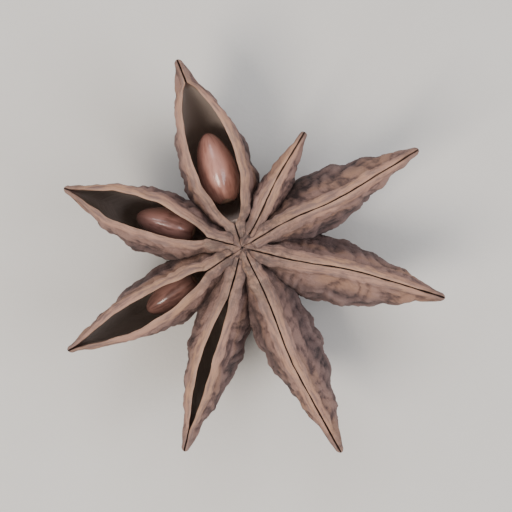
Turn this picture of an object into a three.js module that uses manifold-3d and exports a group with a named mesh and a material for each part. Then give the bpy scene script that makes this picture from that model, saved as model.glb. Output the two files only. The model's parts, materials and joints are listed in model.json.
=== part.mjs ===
// A dried star anise pod: eight boat-shaped follicles fused round a short column,
// lying on their keels with the seams up, and the three seeds that show in the open ones.
// Units are millimetres, +Z is up, and the origin is the middle of the stalk's broken end,
// which is level with the keels.

import * as THREE from 'three';
import { LoftGeometry } from 'three/addons/geometries/LoftGeometry.js';
import { mergeVertices } from 'three/addons/utils/BufferGeometryUtils.js';
import Module from 'manifold-3d';

// ---------------------------------------------------------------- driving dimensions

const FLOOR = 0; // the keels are worn flat where they would pass below this
const CORE_TOP = 7.3; // height of the lips where they meet at the middle
const LIP_DIP = 0.35; // how far the lips sag between the middle and the beak
const LIP_WIDTH = 0.74; // thickness of one lip at the seam, by the column
const LIP_AT_BEAK = 0.42; // and at the beak
const LIP_LEAST = 0.35; // share of its thickness that a lip keeps where the body runs out
const LIP_ROUND = 0.16; // height lost over the lip's rounded outer edge
const LIP_FULL_AT = 1.25; // body's half width from which a lip has its full thickness
const WALL = 0.4; // thickness of the woody wall beside a seed chamber
const WALL_GAP = 0.05; // least half width of a chamber, where the walls all but meet
const WEB = 0.28; // how far a follicle runs past the border with its neighbour near the column
const PARTITION = 0.45; // how far a chamber keeps from that border, clear of the neighbour's web
const HUB = { depth: 0.3, from: 1.5, to: 5.0 }; // the widest point's depth by the column, and its stretch
const KEEL_AT_CORE = 2.1; // height of the keel where it leaves the column
const CHAMBER_START = 1.9; // distance from the axis at which a seed chamber begins
const SEAM = { half: 0.11, depth: 0.32 }; // the groove of a closed seam
const BEAK = { baseHalf: 0.55, tipHalf: 0.2, baseDepth: 1.7, tipDepth: 0.45 };
const ROLL = { pivot: 3.6, start: 0.2, full: 0.6 }; // height and stretch of a follicle's lean

// Places along a follicle are shares of its length, and depths are shares of its section's.
const BELLY_AT = 0.42; // where the keel is lowest
const BEND_FROM = 0.2; // where the sideways bend begins
const WIDEST_DEPTH = 0.48; // depth of the body's widest point, clear of the hub
const CHAMBER_DEPTH = 0.87; // depth of a seed chamber's floor
const CHAMBER_SPREAD = 0.4; // depth within a chamber at which it has its full width

// Powers that shape the curves: 1 is straight, more is fuller or later, less is blunter.
const POWER = {
  beakRise: 2.6, // the lips' rise to the beak
  keelDrop: 1.8, // the keel's drop from the column to the belly
  keelBelly: 1.8, // the keel's sweep from the belly, at the belly's end
  keelBeak: 1.2, // and at the beak's end
  taperBelly: 1.4, // the body's taper from its full width, at that end
  taperBeak: 1.15, // and at the beak's end
  gape: 0.65, // the lens between the lips
  chamberEnds: 3.5, // a chamber's rounded ends
  chamberFloor: 4, // a chamber's rounded floor
  neck: 1.6, // the section's curve from the widest point in to the lip
  keelRound: 0.575, // the section's curve round the keel
};

// The shrunken skin's broad folds, as two waves that run along the flank. shift sets each
// follicle's waves apart, offset sets its two flanks apart, slant leans the folds, and the
// waves fade towards the lip, and towards the keel down to the share fadeFrom.
const RELIEF = {
  height: 0.12,
  offset: 1.1,
  fadeFrom: 0.2,
  waves: [{ pitch: 2.7, shift: 2.3, slant: 2.6 }, { pitch: 1.9, shift: 3.3, slant: -1.4 }],
};

const STATIONS = 24; // steps along a follicle
const FLANK_STEPS = 6; // steps from keel to lip
const CHAMBER_STEPS = 4; // steps from lip to chamber floor

// One entry for each follicle, anticlockwise. bearing and roll are in degrees; length is
// from the axis to the beak's end; gape is the widest clear gap between the lips; opening
// is the stretch of the seam that gapes; full is how far out the body keeps its full width;
// rise lifts the beak above the lips' level at the middle; bend carries the beak sideways;
// lift is the belly's height, before it is worn flat.
const FOLLICLES = [
  { bearing: 107.0, length: 12.6, width: 4.7, full: 0.5, lift: -0.1, rise: 1.0, bend: 0.45,
    roll: 0, gape: 2.9, opening: [0.13, 0.87] },
  { bearing: 164.0, length: 11.8, width: 4.2, full: 0.45, lift: 0.3, rise: 1.6, bend: -0.35,
    roll: 5, gape: 2.1, opening: [0.2, 0.98] },
  { bearing: 213.5, length: 12.8, width: 3.8, full: 0.4, lift: -0.1, rise: 1.1, bend: -0.8,
    roll: -2, gape: 1.8, opening: [0.22, 0.98] },
  { bearing: 255.0, length: 13.5, width: 3.6, full: 0.37, lift: 0.4, rise: 0.5, bend: 0.3,
    roll: 7, gape: 0.9, opening: [0.26, 0.88] },
  { bearing: 296.5, length: 14.4, width: 3.8, full: 0.4, lift: -0.12, rise: 1.3, bend: 0.6, roll: 9 },
  { bearing: 346.0, length: 13.3, width: 4.2, full: 0.5, lift: 0.25, rise: 0.7, bend: -0.5, roll: -7 },
  { bearing: 31.0, length: 12.7, width: 4.0, full: 0.45, lift: -0.12, rise: 1.8, bend: 0.4, roll: 9 },
  { bearing: 61.0, length: 8.4, width: 2.5, full: 0.35, lift: 2.0, rise: 0.3, bend: -0.2, roll: -4 },
];

// The column with the stalk's stub under it, as radius and height from the broken end up.
const COLUMN_PROFILE = [
  [0, 0], [0.98, 0], [0.92, 0.5], [1.02, 1.1], [1.55, 1.9], [2.3, 2.7],
  [2.1, 4.2], [1.5, 5.6], [1.05, 6.3], [0.7, 6.65], [0.3, 6.82], [0, 6.86],
];
const COLUMN_SIDES = 18;

// The seeds, each in the chamber of the follicle with that index. radius, side and height
// place the seed's middle, and pitch in degrees tips its outer end up. hilum is how much
// blunter the outer end is than the end that was joined to the seam.
const SEED = { length: 4.9, height: 3.6, thickness: 2.6, hilum: 0.16, rings: 12, sides: 14 };
const SEEDS = [
  { name: 'seed_1', follicle: 0, radius: 5.4, side: 0, height: 4.55, pitch: 9, scale: 1.0 },
  { name: 'seed_2', follicle: 1, radius: 5.2, side: -0.06, height: 4.45, pitch: 13, scale: 0.84 },
  { name: 'seed_3', follicle: 2, radius: 5.5, side: -0.05, height: 4.3, pitch: 10, scale: 0.8 },
];

const SKIN = new THREE.MeshStandardMaterial({
  name: 'dried_skin', color: 0x6b5248, roughness: 0.82, metalness: 0,
});
const SEED_COAT = new THREE.MeshStandardMaterial({
  name: 'seed_coat', color: 0x7a3f2b, roughness: 0.28, metalness: 0,
});

const { degToRad, lerp, smoothstep, clamp } = THREE.MathUtils;
const UP = new THREE.Vector3(0, 0, 1);

// ---------------------------------------------------------------- a follicle's long curves

/** Height of the lips at share t of the length. */
function lipHeight(follicle, t) {
  return CORE_TOP - LIP_DIP * Math.sin(Math.PI * t) + follicle.rise * t ** POWER.beakRise;
}

/** Depth from lips to keel: the keel drops to the belly, then sweeps up to the beak. */
function sectionDepth(follicle, t) {
  if (t < BELLY_AT) {
    const back = (1 - t / BELLY_AT) ** POWER.keelDrop;
    const atCore = Math.max(KEEL_AT_CORE, follicle.lift);
    return lipHeight(follicle, t) - lerp(follicle.lift, atCore, back);
  }
  const s = (t - BELLY_AT) / (1 - BELLY_AT);
  const belly = lipHeight(follicle, BELLY_AT) - follicle.lift;
  const sweep = (1 - s ** POWER.keelBelly) ** POWER.keelBeak;
  return lerp(BEAK.baseDepth, BEAK.tipDepth, s) + (belly - BEAK.baseDepth) * sweep;
}

/** Half the body's width, before its neighbours crowd it. */
function freeHalfWidth(follicle, t) {
  if (t < follicle.full) return follicle.width / 2;
  const s = (t - follicle.full) / (1 - follicle.full);
  const taper = (1 - s ** POWER.taperBelly) ** POWER.taperBeak;
  return lerp(BEAK.baseHalf, BEAK.tipHalf, s) + (follicle.width / 2 - BEAK.baseHalf) * taper;
}

/** Angle in radians to the border with the neighbour on one side (-1 or 1), by their widths. */
function wedge(index, side) {
  const own = FOLLICLES[index];
  const other = FOLLICLES[(index + side + FOLLICLES.length) % FOLLICLES.length];
  const between = (side * (other.bearing - own.bearing) + 360) % 360;
  return degToRad(between * own.width / (own.width + other.width));
}

/** How far the seam gapes at t, from 0 at its closed ends to 1 at the middle. */
function gapeShare(follicle, t) {
  if (!follicle.opening) return 0;
  const [start, end] = follicle.opening;
  return Math.sin(Math.PI * clamp((t - start) / (end - start), 0, 1)) ** POWER.gape;
}

/** How fully the chamber under the seam is hollowed at t, from 0 to 1. */
function chamberShare(follicle, t) {
  if (!follicle.opening) return 0;
  const start = CHAMBER_START / follicle.length;
  const along = clamp((t - start) / (follicle.opening[1] - start), 0, 1);
  return Math.sqrt(1 - Math.abs(2 * along - 1) ** POWER.chamberEnds);
}

// ---------------------------------------------------------------- a follicle's section

/** Half width of the body at share q of its depth, from the lips (0) down to the keel (1). */
function halfAtDepth(q, { lipHalf, half, widest }) {
  if (q < widest) {
    return lipHalf + (half - lipHalf) * Math.sin((Math.PI / 2) * (q / widest)) ** POWER.neck;
  }
  const below = (q - widest) / (1 - widest);
  return half * (1 - below ** 2) ** POWER.keelRound;
}

/** Shallow folds of the shrunken skin at distance x, which fade out at the lip (up = 1). */
function skinRelief(index, x, up, side) {
  let sum = 0;
  for (const { pitch, shift, slant } of RELIEF.waves) {
    sum += Math.sin((2 * Math.PI * x) / pitch + shift * index + side * (RELIEF.offset + slant * up));
  }
  const fade = Math.sin(Math.PI * lerp(RELIEF.fadeFrom, 1, up));
  return (RELIEF.height * fade * sum) / RELIEF.waves.length;
}

/**
 * One side of the section at t, as [y, z] points from the keel up over the lip, then down
 * the chamber's wall, or the groove of a closed seam, to its floor on the middle line.
 */
function halfSection(index, t, side) {
  const follicle = FOLLICLES[index];
  const x = t * follicle.length;
  const top = lipHeight(follicle, t);
  const depth = sectionDepth(follicle, t);
  const border = x * Math.tan(wedge(index, side));
  const half = Math.min(freeHalfWidth(follicle, t), border + WEB);
  const lip = lerp(LIP_WIDTH, LIP_AT_BEAK, t) * lerp(LIP_LEAST, 1, Math.min(1, half / LIP_FULL_AT));
  const gape = follicle.opening ? (follicle.gape / 2 - SEAM.half) * gapeShare(follicle, t) : 0;
  const gapHalf = SEAM.half + clamp(half - lip - SEAM.half, 0, gape);
  const lipHalf = Math.min(gapHalf + lip, half);
  const widest = lerp(HUB.depth, WIDEST_DEPTH, smoothstep(x, HUB.from, HUB.to));
  const body = { lipHalf, half, widest };

  const points = [];
  for (let i = 0; i <= FLANK_STEPS; i++) {
    const up = i / FLANK_STEPS;
    const q = up < 0.5 ? lerp(widest, 1, Math.cos(Math.PI * up)) : 2 * widest * (1 - up);
    const fold = skinRelief(index, x, up, side);
    const y = halfAtDepth(q, body);
    points.push([y + fold * Math.min(1, y), top - lerp(LIP_ROUND, depth + fold / 2, q)]);
  }
  points.push([gapHalf, top]);

  const hollow = chamberShare(follicle, t);
  const floor = lerp(SEAM.depth, depth * CHAMBER_DEPTH, hollow);
  const wallSteps = follicle.opening ? CHAMBER_STEPS : 1;
  for (let i = 1; i < wallSteps; i++) {
    const down = i / wallSteps;
    const outer = halfAtDepth((floor * down) / depth, body);
    const clear = Math.max(Math.min(outer - WALL, border - PARTITION), WALL_GAP);
    const full = lerp(gapHalf, clear, hollow);
    const spread = Math.sin((Math.PI / 2) * Math.min(1, down / CHAMBER_SPREAD));
    const rounded = Math.sqrt(1 - down ** POWER.chamberFloor);
    points.push([lerp(gapHalf, full, spread) * rounded, top - floor * down]);
  }
  points.push([0, top - floor]);
  return points;
}

/** Places a section point at t in the pod's frame, with the follicle's lean, bend and bearing. */
function place(follicle, t, [y, z]) {
  const roll = degToRad(follicle.roll) * smoothstep(t, ROLL.start, ROLL.full);
  const bend = follicle.bend * (Math.max(0, t - BEND_FROM) / (1 - BEND_FROM)) ** 2;
  const above = z - ROLL.pivot;
  const sideways = y * Math.cos(roll) - above * Math.sin(roll) + bend;
  const height = ROLL.pivot + y * Math.sin(roll) + above * Math.cos(roll);
  return new THREE.Vector3(t * follicle.length, sideways, Math.max(FLOOR, height))
    .applyAxisAngle(UP, degToRad(follicle.bearing));
}

/** The closed ring of points round the follicle at t, anticlockwise seen from the beak. */
function ring(index, t) {
  const left = halfSection(index, t, 1);
  const right = halfSection(index, t, -1).map(([y, z]) => [-y, z]).reverse();
  return [...left, ...right.slice(1, -1)].map((point) => place(FOLLICLES[index], t, point));
}

function follicleGeometry(index) {
  const sections = [];
  for (let i = 0; i <= STATIONS; i++) sections.push(ring(index, i / STATIONS));
  return new LoftGeometry(sections, { capStart: true, capEnd: true });
}

function columnGeometry() {
  const profile = COLUMN_PROFILE.map(([radius, height]) => new THREE.Vector2(radius, height));
  return new THREE.LatheGeometry(profile, COLUMN_SIDES).rotateX(Math.PI / 2);
}

// ---------------------------------------------------------------- joining the solids

const wasm = await Module();
wasm.setup();

/** A manifold-3d solid from the positions and faces of a closed three.js geometry. */
function toSolid(geometry) {
  const bare = new THREE.BufferGeometry().setIndex(geometry.index);
  bare.setAttribute('position', geometry.attributes.position);
  const merged = mergeVertices(bare);
  const corners = merged.index.array;
  const kept = [];
  for (let i = 0; i < corners.length; i += 3) {
    const [a, b, c] = [corners[i], corners[i + 1], corners[i + 2]];
    if (a !== b && b !== c && c !== a) kept.push(a, b, c);
  }
  return new wasm.Manifold(new wasm.Mesh({
    numProp: 3,
    vertProperties: new Float32Array(merged.attributes.position.array),
    triVerts: new Uint32Array(kept),
  }));
}

/** A three.js geometry from a manifold-3d solid. */
function toGeometry(solid) {
  const mesh = solid.getMesh();
  const geometry = new THREE.BufferGeometry();
  geometry.setAttribute('position', new THREE.BufferAttribute(mesh.vertProperties, 3));
  geometry.setIndex(new THREE.BufferAttribute(mesh.triVerts, 1));
  geometry.computeVertexNormals();
  return geometry;
}

/** The pod without its seeds: the follicles and the column grown into one. */
function podMesh() {
  let solid = toSolid(columnGeometry());
  FOLLICLES.forEach((follicle, index) => {
    solid = solid.add(toSolid(follicleGeometry(index)));
  });
  const mesh = new THREE.Mesh(toGeometry(solid), SKIN);
  mesh.name = 'pod';
  return mesh;
}

// ---------------------------------------------------------------- the seeds

/** A flattened oval, long along X, narrower at the inner end that was joined to the seam. */
function seedGeometry() {
  const profile = [];
  for (let i = 0; i <= SEED.rings; i++) {
    const turn = (Math.PI * i) / SEED.rings;
    const isEnd = i === 0 || i === SEED.rings;
    const radius = isEnd ? 0 : 0.5 * Math.sin(turn) * (1 + SEED.hilum * Math.cos(turn));
    profile.push(new THREE.Vector2(radius, -0.5 * Math.cos(turn)));
  }
  return new THREE.LatheGeometry(profile, SEED.sides).rotateZ(Math.PI / 2)
    .scale(SEED.length, SEED.thickness, SEED.height);
}

/** A seed in its chamber: out along the follicle, tipped up a little. */
function seedInPlace(spec) {
  const mesh = new THREE.Mesh(seedGeometry(), SEED_COAT);
  mesh.name = spec.name;
  mesh.scale.setScalar(spec.scale);
  mesh.position.set(spec.radius, spec.side, spec.height);
  mesh.rotation.y = degToRad(-spec.pitch);
  const arm = new THREE.Group();
  arm.rotation.z = degToRad(FOLLICLES[spec.follicle].bearing);
  arm.add(mesh);
  return arm;
}

const starAnise = new THREE.Group();
starAnise.add(podMesh(), ...SEEDS.map(seedInPlace));

export default starAnise;
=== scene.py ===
"""A dried star anise pod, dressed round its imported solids.

The husk is eight uneven boat-shaped follicles grown round a short column. It lies on its keels with the
seams up, and three of the follicles gape round a glossy seed. Lengths are in millimetres and angles in
degrees unless a name says otherwise, and every mesh is written in metres. Places along a follicle are
shares of its length, and depths are shares of its section's.
"""

import json
import logging
import math
from dataclasses import dataclass
from enum import Enum
from functools import cached_property

import bpy
import numpy as np
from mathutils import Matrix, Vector

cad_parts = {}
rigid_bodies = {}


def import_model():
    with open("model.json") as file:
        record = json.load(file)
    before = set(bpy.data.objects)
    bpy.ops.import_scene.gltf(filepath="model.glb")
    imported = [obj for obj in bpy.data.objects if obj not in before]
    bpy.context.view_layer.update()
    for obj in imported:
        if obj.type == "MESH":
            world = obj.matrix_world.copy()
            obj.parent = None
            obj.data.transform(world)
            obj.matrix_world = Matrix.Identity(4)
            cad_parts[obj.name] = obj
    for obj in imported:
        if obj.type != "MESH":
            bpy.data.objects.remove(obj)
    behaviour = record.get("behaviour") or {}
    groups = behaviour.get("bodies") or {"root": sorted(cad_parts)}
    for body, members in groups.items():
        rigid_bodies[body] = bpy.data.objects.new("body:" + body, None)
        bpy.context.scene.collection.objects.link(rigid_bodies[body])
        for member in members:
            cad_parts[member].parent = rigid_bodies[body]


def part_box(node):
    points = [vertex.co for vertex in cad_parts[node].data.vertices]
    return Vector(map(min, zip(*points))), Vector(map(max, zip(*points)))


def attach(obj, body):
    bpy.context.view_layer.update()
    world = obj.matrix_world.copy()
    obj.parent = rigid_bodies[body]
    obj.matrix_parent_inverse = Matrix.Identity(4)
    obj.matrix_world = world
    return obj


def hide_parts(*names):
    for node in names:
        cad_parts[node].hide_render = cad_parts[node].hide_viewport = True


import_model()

LOG = logging.getLogger("star_anise")
MM = 0.001  # a millimetre in metres
BODY = "root"

Span = tuple[float, float]  # where something starts, and where it is full or ends


class Mark(Enum):
    """What a point of the husk or a seed belongs to, as a share from 0 to 1 unless it says otherwise."""

    LIP = "lip"  # the smooth band along the seam
    LIT_TOP = "lit_top"  # painted light on the top of the flank, from the lip down
    INSIDE = "inside"  # the seed chamber, or the groove of a closed seam
    OPEN = "open"  # whether the seam gapes there
    EDGE = "edge"  # the worn inner edge of a lip
    DEPTH = "depth"  # how far down the chamber
    END_SHADE = "end_shade"  # the painted shade at the chamber's outer end
    RELIEF = "relief"  # from the bottom of a wrinkle to its crest
    ALONG = "along"  # from the axis to the beak
    BROKEN = "broken"  # the stalk's broken end, or a seed's scar
    GRAIN = "grain"  # a vector: millimetres along the piece, millimetres round it, and its number


class Side(Enum):
    """The two sides of a follicle, seen from the axis: anticlockwise and clockwise of its seam."""

    LEFT = 1
    RIGHT = -1


# ---------------------------------------------------------------------------- numbers


def blend(low: float, high: float, share: np.ndarray | float) -> np.ndarray | float:
    """Returns the value that is share of the way from low to high."""
    return low + (high - low) * share


def ease(value: np.ndarray, start: float, full: float) -> np.ndarray:
    """Returns 0 below start, 1 above full, and a smooth rise between them."""
    share = np.clip((value - start) / (full - start), 0, 1)
    return share * share * (3 - 2 * share)


def hump(value: np.ndarray, width: float) -> np.ndarray:
    """Returns 1 at value 0, falling smoothly to 0 over a few widths on either side."""
    return np.exp(-((value / width) ** 2))


class Lattice:
    """Seeded smooth noise, for relief that is part of a mesh."""

    CELLS = 256
    GAIN = 1.6  # brings the noise to about -1 to 1

    def __init__(self, seed: int) -> None:
        """Draws the lattice's slopes.

        Args:
            seed: The number that fixes the noise.
        """
        draw = np.random.default_rng(seed)
        slopes = draw.normal(size=(self.CELLS, 3))
        self._order = draw.permutation(self.CELLS)
        self._slopes = slopes / np.linalg.norm(slopes, axis=1, keepdims=True)

    def at(self, *axes: np.ndarray | float) -> np.ndarray:
        """Gives the noise at points whose three coordinates are in units of the feature's size.

        Args:
            axes: The three coordinates, as arrays or numbers that broadcast together.

        Returns:
            The noise, about -1 to 1, in the axes' shape.
        """
        points = np.stack(np.broadcast_arrays(*axes), axis=-1).astype(float)
        cell = np.floor(points).astype(int)
        local = points - cell
        rise = local**3 * (local * (local * 6 - 15) + 10)
        total = np.zeros(points.shape[:-1])
        for corner in np.ndindex(2, 2, 2):
            key = (cell + corner) % self.CELLS
            slot = self._order[key[..., 0]]
            slot = self._order[(slot + key[..., 1]) % self.CELLS]
            slot = self._order[(slot + key[..., 2]) % self.CELLS]
            weight = np.prod(np.where(corner, rise, 1 - rise), axis=-1)
            total += weight * np.sum(self._slopes[slot] * (local - corner), axis=-1)
        return total * self.GAIN

    def folds(self, *axes: np.ndarray | float) -> np.ndarray:
        """Returns rounded swellings with sharp creases between them, from 0 to about 1."""
        return np.abs(self.at(*axes))


LATTICE = Lattice(seed=11)


# ---------------------------------------------------------------------------- surfaces


@dataclass
class Shell:
    """A closed surface: points in millimetres, faces as point numbers, and marks on the points."""

    points: np.ndarray
    faces: list[list[int]]
    marks: dict[Mark, np.ndarray]

    def to_object(self, name: str) -> bpy.types.Object:
        """Makes a Blender object of the shell, in metres.

        Args:
            name: The object's name.

        Returns:
            The object, linked to the scene.
        """
        mesh = bpy.data.meshes.new(name)
        mesh.from_pydata((self.points * MM).tolist(), [], self.faces)
        for mark, values in self.marks.items():
            is_vector = values.ndim == 2
            kind = "FLOAT_VECTOR" if is_vector else "FLOAT"
            layer = mesh.attributes.new(mark.value, kind, "POINT")
            layer.data.foreach_set("vector" if is_vector else "value", values.astype(np.float32).ravel())
        mesh.update()
        made = bpy.data.objects.new(name, mesh)
        bpy.context.scene.collection.objects.link(made)
        return made


def outward(rings: np.ndarray) -> np.ndarray:
    """Gives the directions out of a stack of rings, each anticlockwise seen from the last.

    Args:
        rings: Points as (rings, points round, 3).

    Returns:
        Unit vectors in the same shape.
    """
    along = np.gradient(rings, axis=0)
    around = np.roll(rings, -1, axis=1) - np.roll(rings, 1, axis=1)
    normal = np.cross(around, along)
    return normal / np.maximum(np.linalg.norm(normal, axis=-1, keepdims=True), 1e-9)


def stack_shell(rings: np.ndarray, marks: dict[Mark, np.ndarray]) -> Shell:
    """Joins a stack of rings into a closed shell, with a fan of triangles over each end.

    Args:
        rings: Points as (rings, points round, 3), each ring anticlockwise seen from the last.
        marks: Values in the shape of the rings.

    Returns:
        The shell.
    """
    count, around = rings.shape[:2]
    here = np.arange(count * around).reshape(count, around)
    ahead = np.roll(here, -1, axis=1)
    quads = np.stack([here[:-1], ahead[:-1], ahead[1:], here[1:]], axis=-1).reshape(-1, 4)
    first, last = count * around, count * around + 1
    fans = [[first, b, a] for a, b in zip(here[0].tolist(), ahead[0].tolist())]
    fans += [[last, a, b] for a, b in zip(here[-1].tolist(), ahead[-1].tolist())]

    def with_ends(values: np.ndarray) -> np.ndarray:
        """Returns the values as a list over the points, with each end's mean after them."""
        flat = values.reshape(count * around, *values.shape[2:])
        return np.concatenate([flat, [values[0].mean(axis=0)], [values[-1].mean(axis=0)]])

    return Shell(with_ends(rings), quads.tolist() + fans, {m: with_ends(v) for m, v in marks.items()})


def smooth_shading(piece: bpy.types.Object, crease: float) -> None:
    """Shades a piece smooth, but for edges that turn by more than crease degrees."""
    piece.data.shade_smooth()
    piece.data.set_sharp_from_angle(angle=math.radians(crease))


# ---------------------------------------------------------------------------- materials


def paint(code: str) -> tuple[float, ...]:
    """Returns the linear colour of a six-digit hexadecimal one, with its alpha."""
    shares = [int(code[i : i + 2], 16) / 255 for i in (0, 2, 4)]
    return (*(s / 12.92 if s <= 0.04045 else ((s + 0.055) / 1.055) ** 2.4 for s in shares), 1.0)


class Wire:
    """A shader output that takes part in Python expressions, each operation as a Math node."""

    def __init__(self, board: "Board", socket: bpy.types.NodeSocket) -> None:
        """Wraps a node's output socket on a board."""
        self.board = board
        self.socket = socket

    def _math(self, operation: str, first: "Wire | float", second: "Wire | float") -> "Wire":
        """Returns the Math node's result for two values."""
        return self.board.node("ShaderNodeMath", {"operation": operation}, {0: first, 1: second})

    def __add__(self, other: "Wire | float") -> "Wire":
        """Returns self + other."""
        return self._math("ADD", self, other)

    def __radd__(self, other: float) -> "Wire":
        """Returns other + self."""
        return self._math("ADD", other, self)

    def __sub__(self, other: "Wire | float") -> "Wire":
        """Returns self - other."""
        return self._math("SUBTRACT", self, other)

    def __rsub__(self, other: float) -> "Wire":
        """Returns other - self."""
        return self._math("SUBTRACT", other, self)

    def __mul__(self, other: "Wire | float") -> "Wire":
        """Returns self * other."""
        return self._math("MULTIPLY", self, other)

    def __rmul__(self, other: float) -> "Wire":
        """Returns other * self."""
        return self._math("MULTIPLY", other, self)


@dataclass(frozen=True)
class Noise:
    """A noise texture: the size of its features, and how many finer layers it has and how strong.

    With a stretch it follows the piece's own grain, and its features are drawn out along an axis
    where the stretch is less than 1. Without one it fills space.
    """

    size: float
    stretch: tuple[float, float, float] | None = None
    detail: float = 3.0
    sharpness: float = 0.55


@dataclass(frozen=True)
class Ramp:
    """The soft edge of a mask: where it starts and is full, and how far a noise frays it."""

    start: float
    full: float
    fray: float = 0.0


class Board:
    """The nodes of one material while it is drawn up."""

    def __init__(self, name: str) -> None:
        """Starts an empty material.

        Args:
            name: The material's name.
        """
        self.material = bpy.data.materials.new(name)
        self.material.use_nodes = True
        self._tree = self.material.node_tree
        self._tree.nodes.clear()

    def node(
        self,
        kind: str,
        settings: dict[str, object] | None = None,
        inputs: dict[str | int, object] | None = None,
        out: str | int = 0,
    ) -> Wire:
        """Adds a node.

        Args:
            kind: The node's type.
            settings: The node's own settings, which are set first.
            inputs: Values or wires for its sockets, by name or number.
            out: The output that is returned, by name or number.

        Returns:
            The wire from that output.
        """
        made = self._tree.nodes.new(kind)
        for name, value in (settings or {}).items():
            setattr(made, name, value)
        for name, value in (inputs or {}).items():
            socket = self._find(made.inputs, name)
            if isinstance(value, Wire):
                self._tree.links.new(value.socket, socket)
            else:
                socket.default_value = value
        return Wire(self, self._find(made.outputs, out))

    @staticmethod
    def _find(sockets: bpy.types.bpy_prop_collection, name: str | int) -> bpy.types.NodeSocket:
        """Returns the socket in use with that name, or that number among all of them."""
        is_number = isinstance(name, int)
        return sockets[name] if is_number else next(s for s in sockets if s.name == name and s.enabled)

    @cached_property
    def place(self) -> Wire:
        """A point's place in the frame, in metres."""
        return self.node("ShaderNodeTexCoord", out="Object")

    @cached_property
    def grain(self) -> Wire:
        """A point's place along and round its piece, in millimetres."""
        return self.node("ShaderNodeAttribute", {"attribute_name": Mark.GRAIN.value}, out="Vector")

    def mark(self, mark: Mark) -> Wire:
        """Returns a mark's value."""
        return self.node("ShaderNodeAttribute", {"attribute_name": mark.value}, out="Fac")

    def mix(self, first: "Wire | str", second: "Wire | str", share: "Wire | float") -> Wire:
        """Mixes two colours.

        Args:
            first: The colour at share 0, as a wire or a hexadecimal code.
            second: The colour at share 1.
            share: How much of the second there is.

        Returns:
            The mixed colour.
        """
        ends = {"A": first, "B": second}
        inputs = {k: paint(v) if isinstance(v, str) else v for k, v in ends.items()}
        return self.node("ShaderNodeMix", {"data_type": "RGBA"}, {"Factor": share, **inputs}, out="Result")

    def noise(self, noise: Noise) -> Wire:
        """Adds a noise texture.

        Args:
            noise: Its sizes.

        Returns:
            The noise, about 0.25 to 0.75 round a mean of 0.5.
        """
        place, size = self.place, noise.size * MM
        if noise.stretch:
            factors = {0: self.grain, 1: noise.stretch}
            place = self.node("ShaderNodeVectorMath", {"operation": "MULTIPLY"}, factors)
            size = noise.size
        sizes = {"Scale": 1 / size, "Detail": noise.detail, "Roughness": noise.sharpness}
        return self.node("ShaderNodeTexNoise", None, {"Vector": place, **sizes}, out="Fac")

    def mask(self, value: Wire, ramp: Ramp, noise: Wire | None = None) -> Wire:
        """Turns a value into a mask with a soft edge.

        Args:
            value: The value.
            ramp: Where the mask starts and is full.
            noise: What frays the edge.

        Returns:
            The mask, from 0 to 1.
        """
        if noise:
            value = value + ramp.fray * (noise - 0.5)
        settings = {"interpolation_type": "SMOOTHSTEP"}
        inputs = {"Value": value, "From Min": ramp.start, "From Max": ramp.full}
        return self.node("ShaderNodeMapRange", settings, inputs, out="Result")

    def bump(self, height: Wire, depth: float) -> Wire:
        """Returns the normal of a surface raised by height, where 1 is depth in millimetres."""
        return self.node("ShaderNodeBump", None, {"Height": height, "Distance": depth * MM}, out="Normal")

    def surface(self, **inputs: object) -> bpy.types.Material:
        """Ends the board with its shader.

        Args:
            inputs: The shader's sockets, with an underscore for each space in a name.

        Returns:
            The material.
        """
        named = {name.replace("_", " "): value for name, value in inputs.items()}
        shader = self.node("ShaderNodeBsdfPrincipled", None, named, out="BSDF")
        output = self._tree.nodes.new("ShaderNodeOutputMaterial")
        self._tree.links.new(shader.socket, output.inputs["Surface"])
        return self.material


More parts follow.
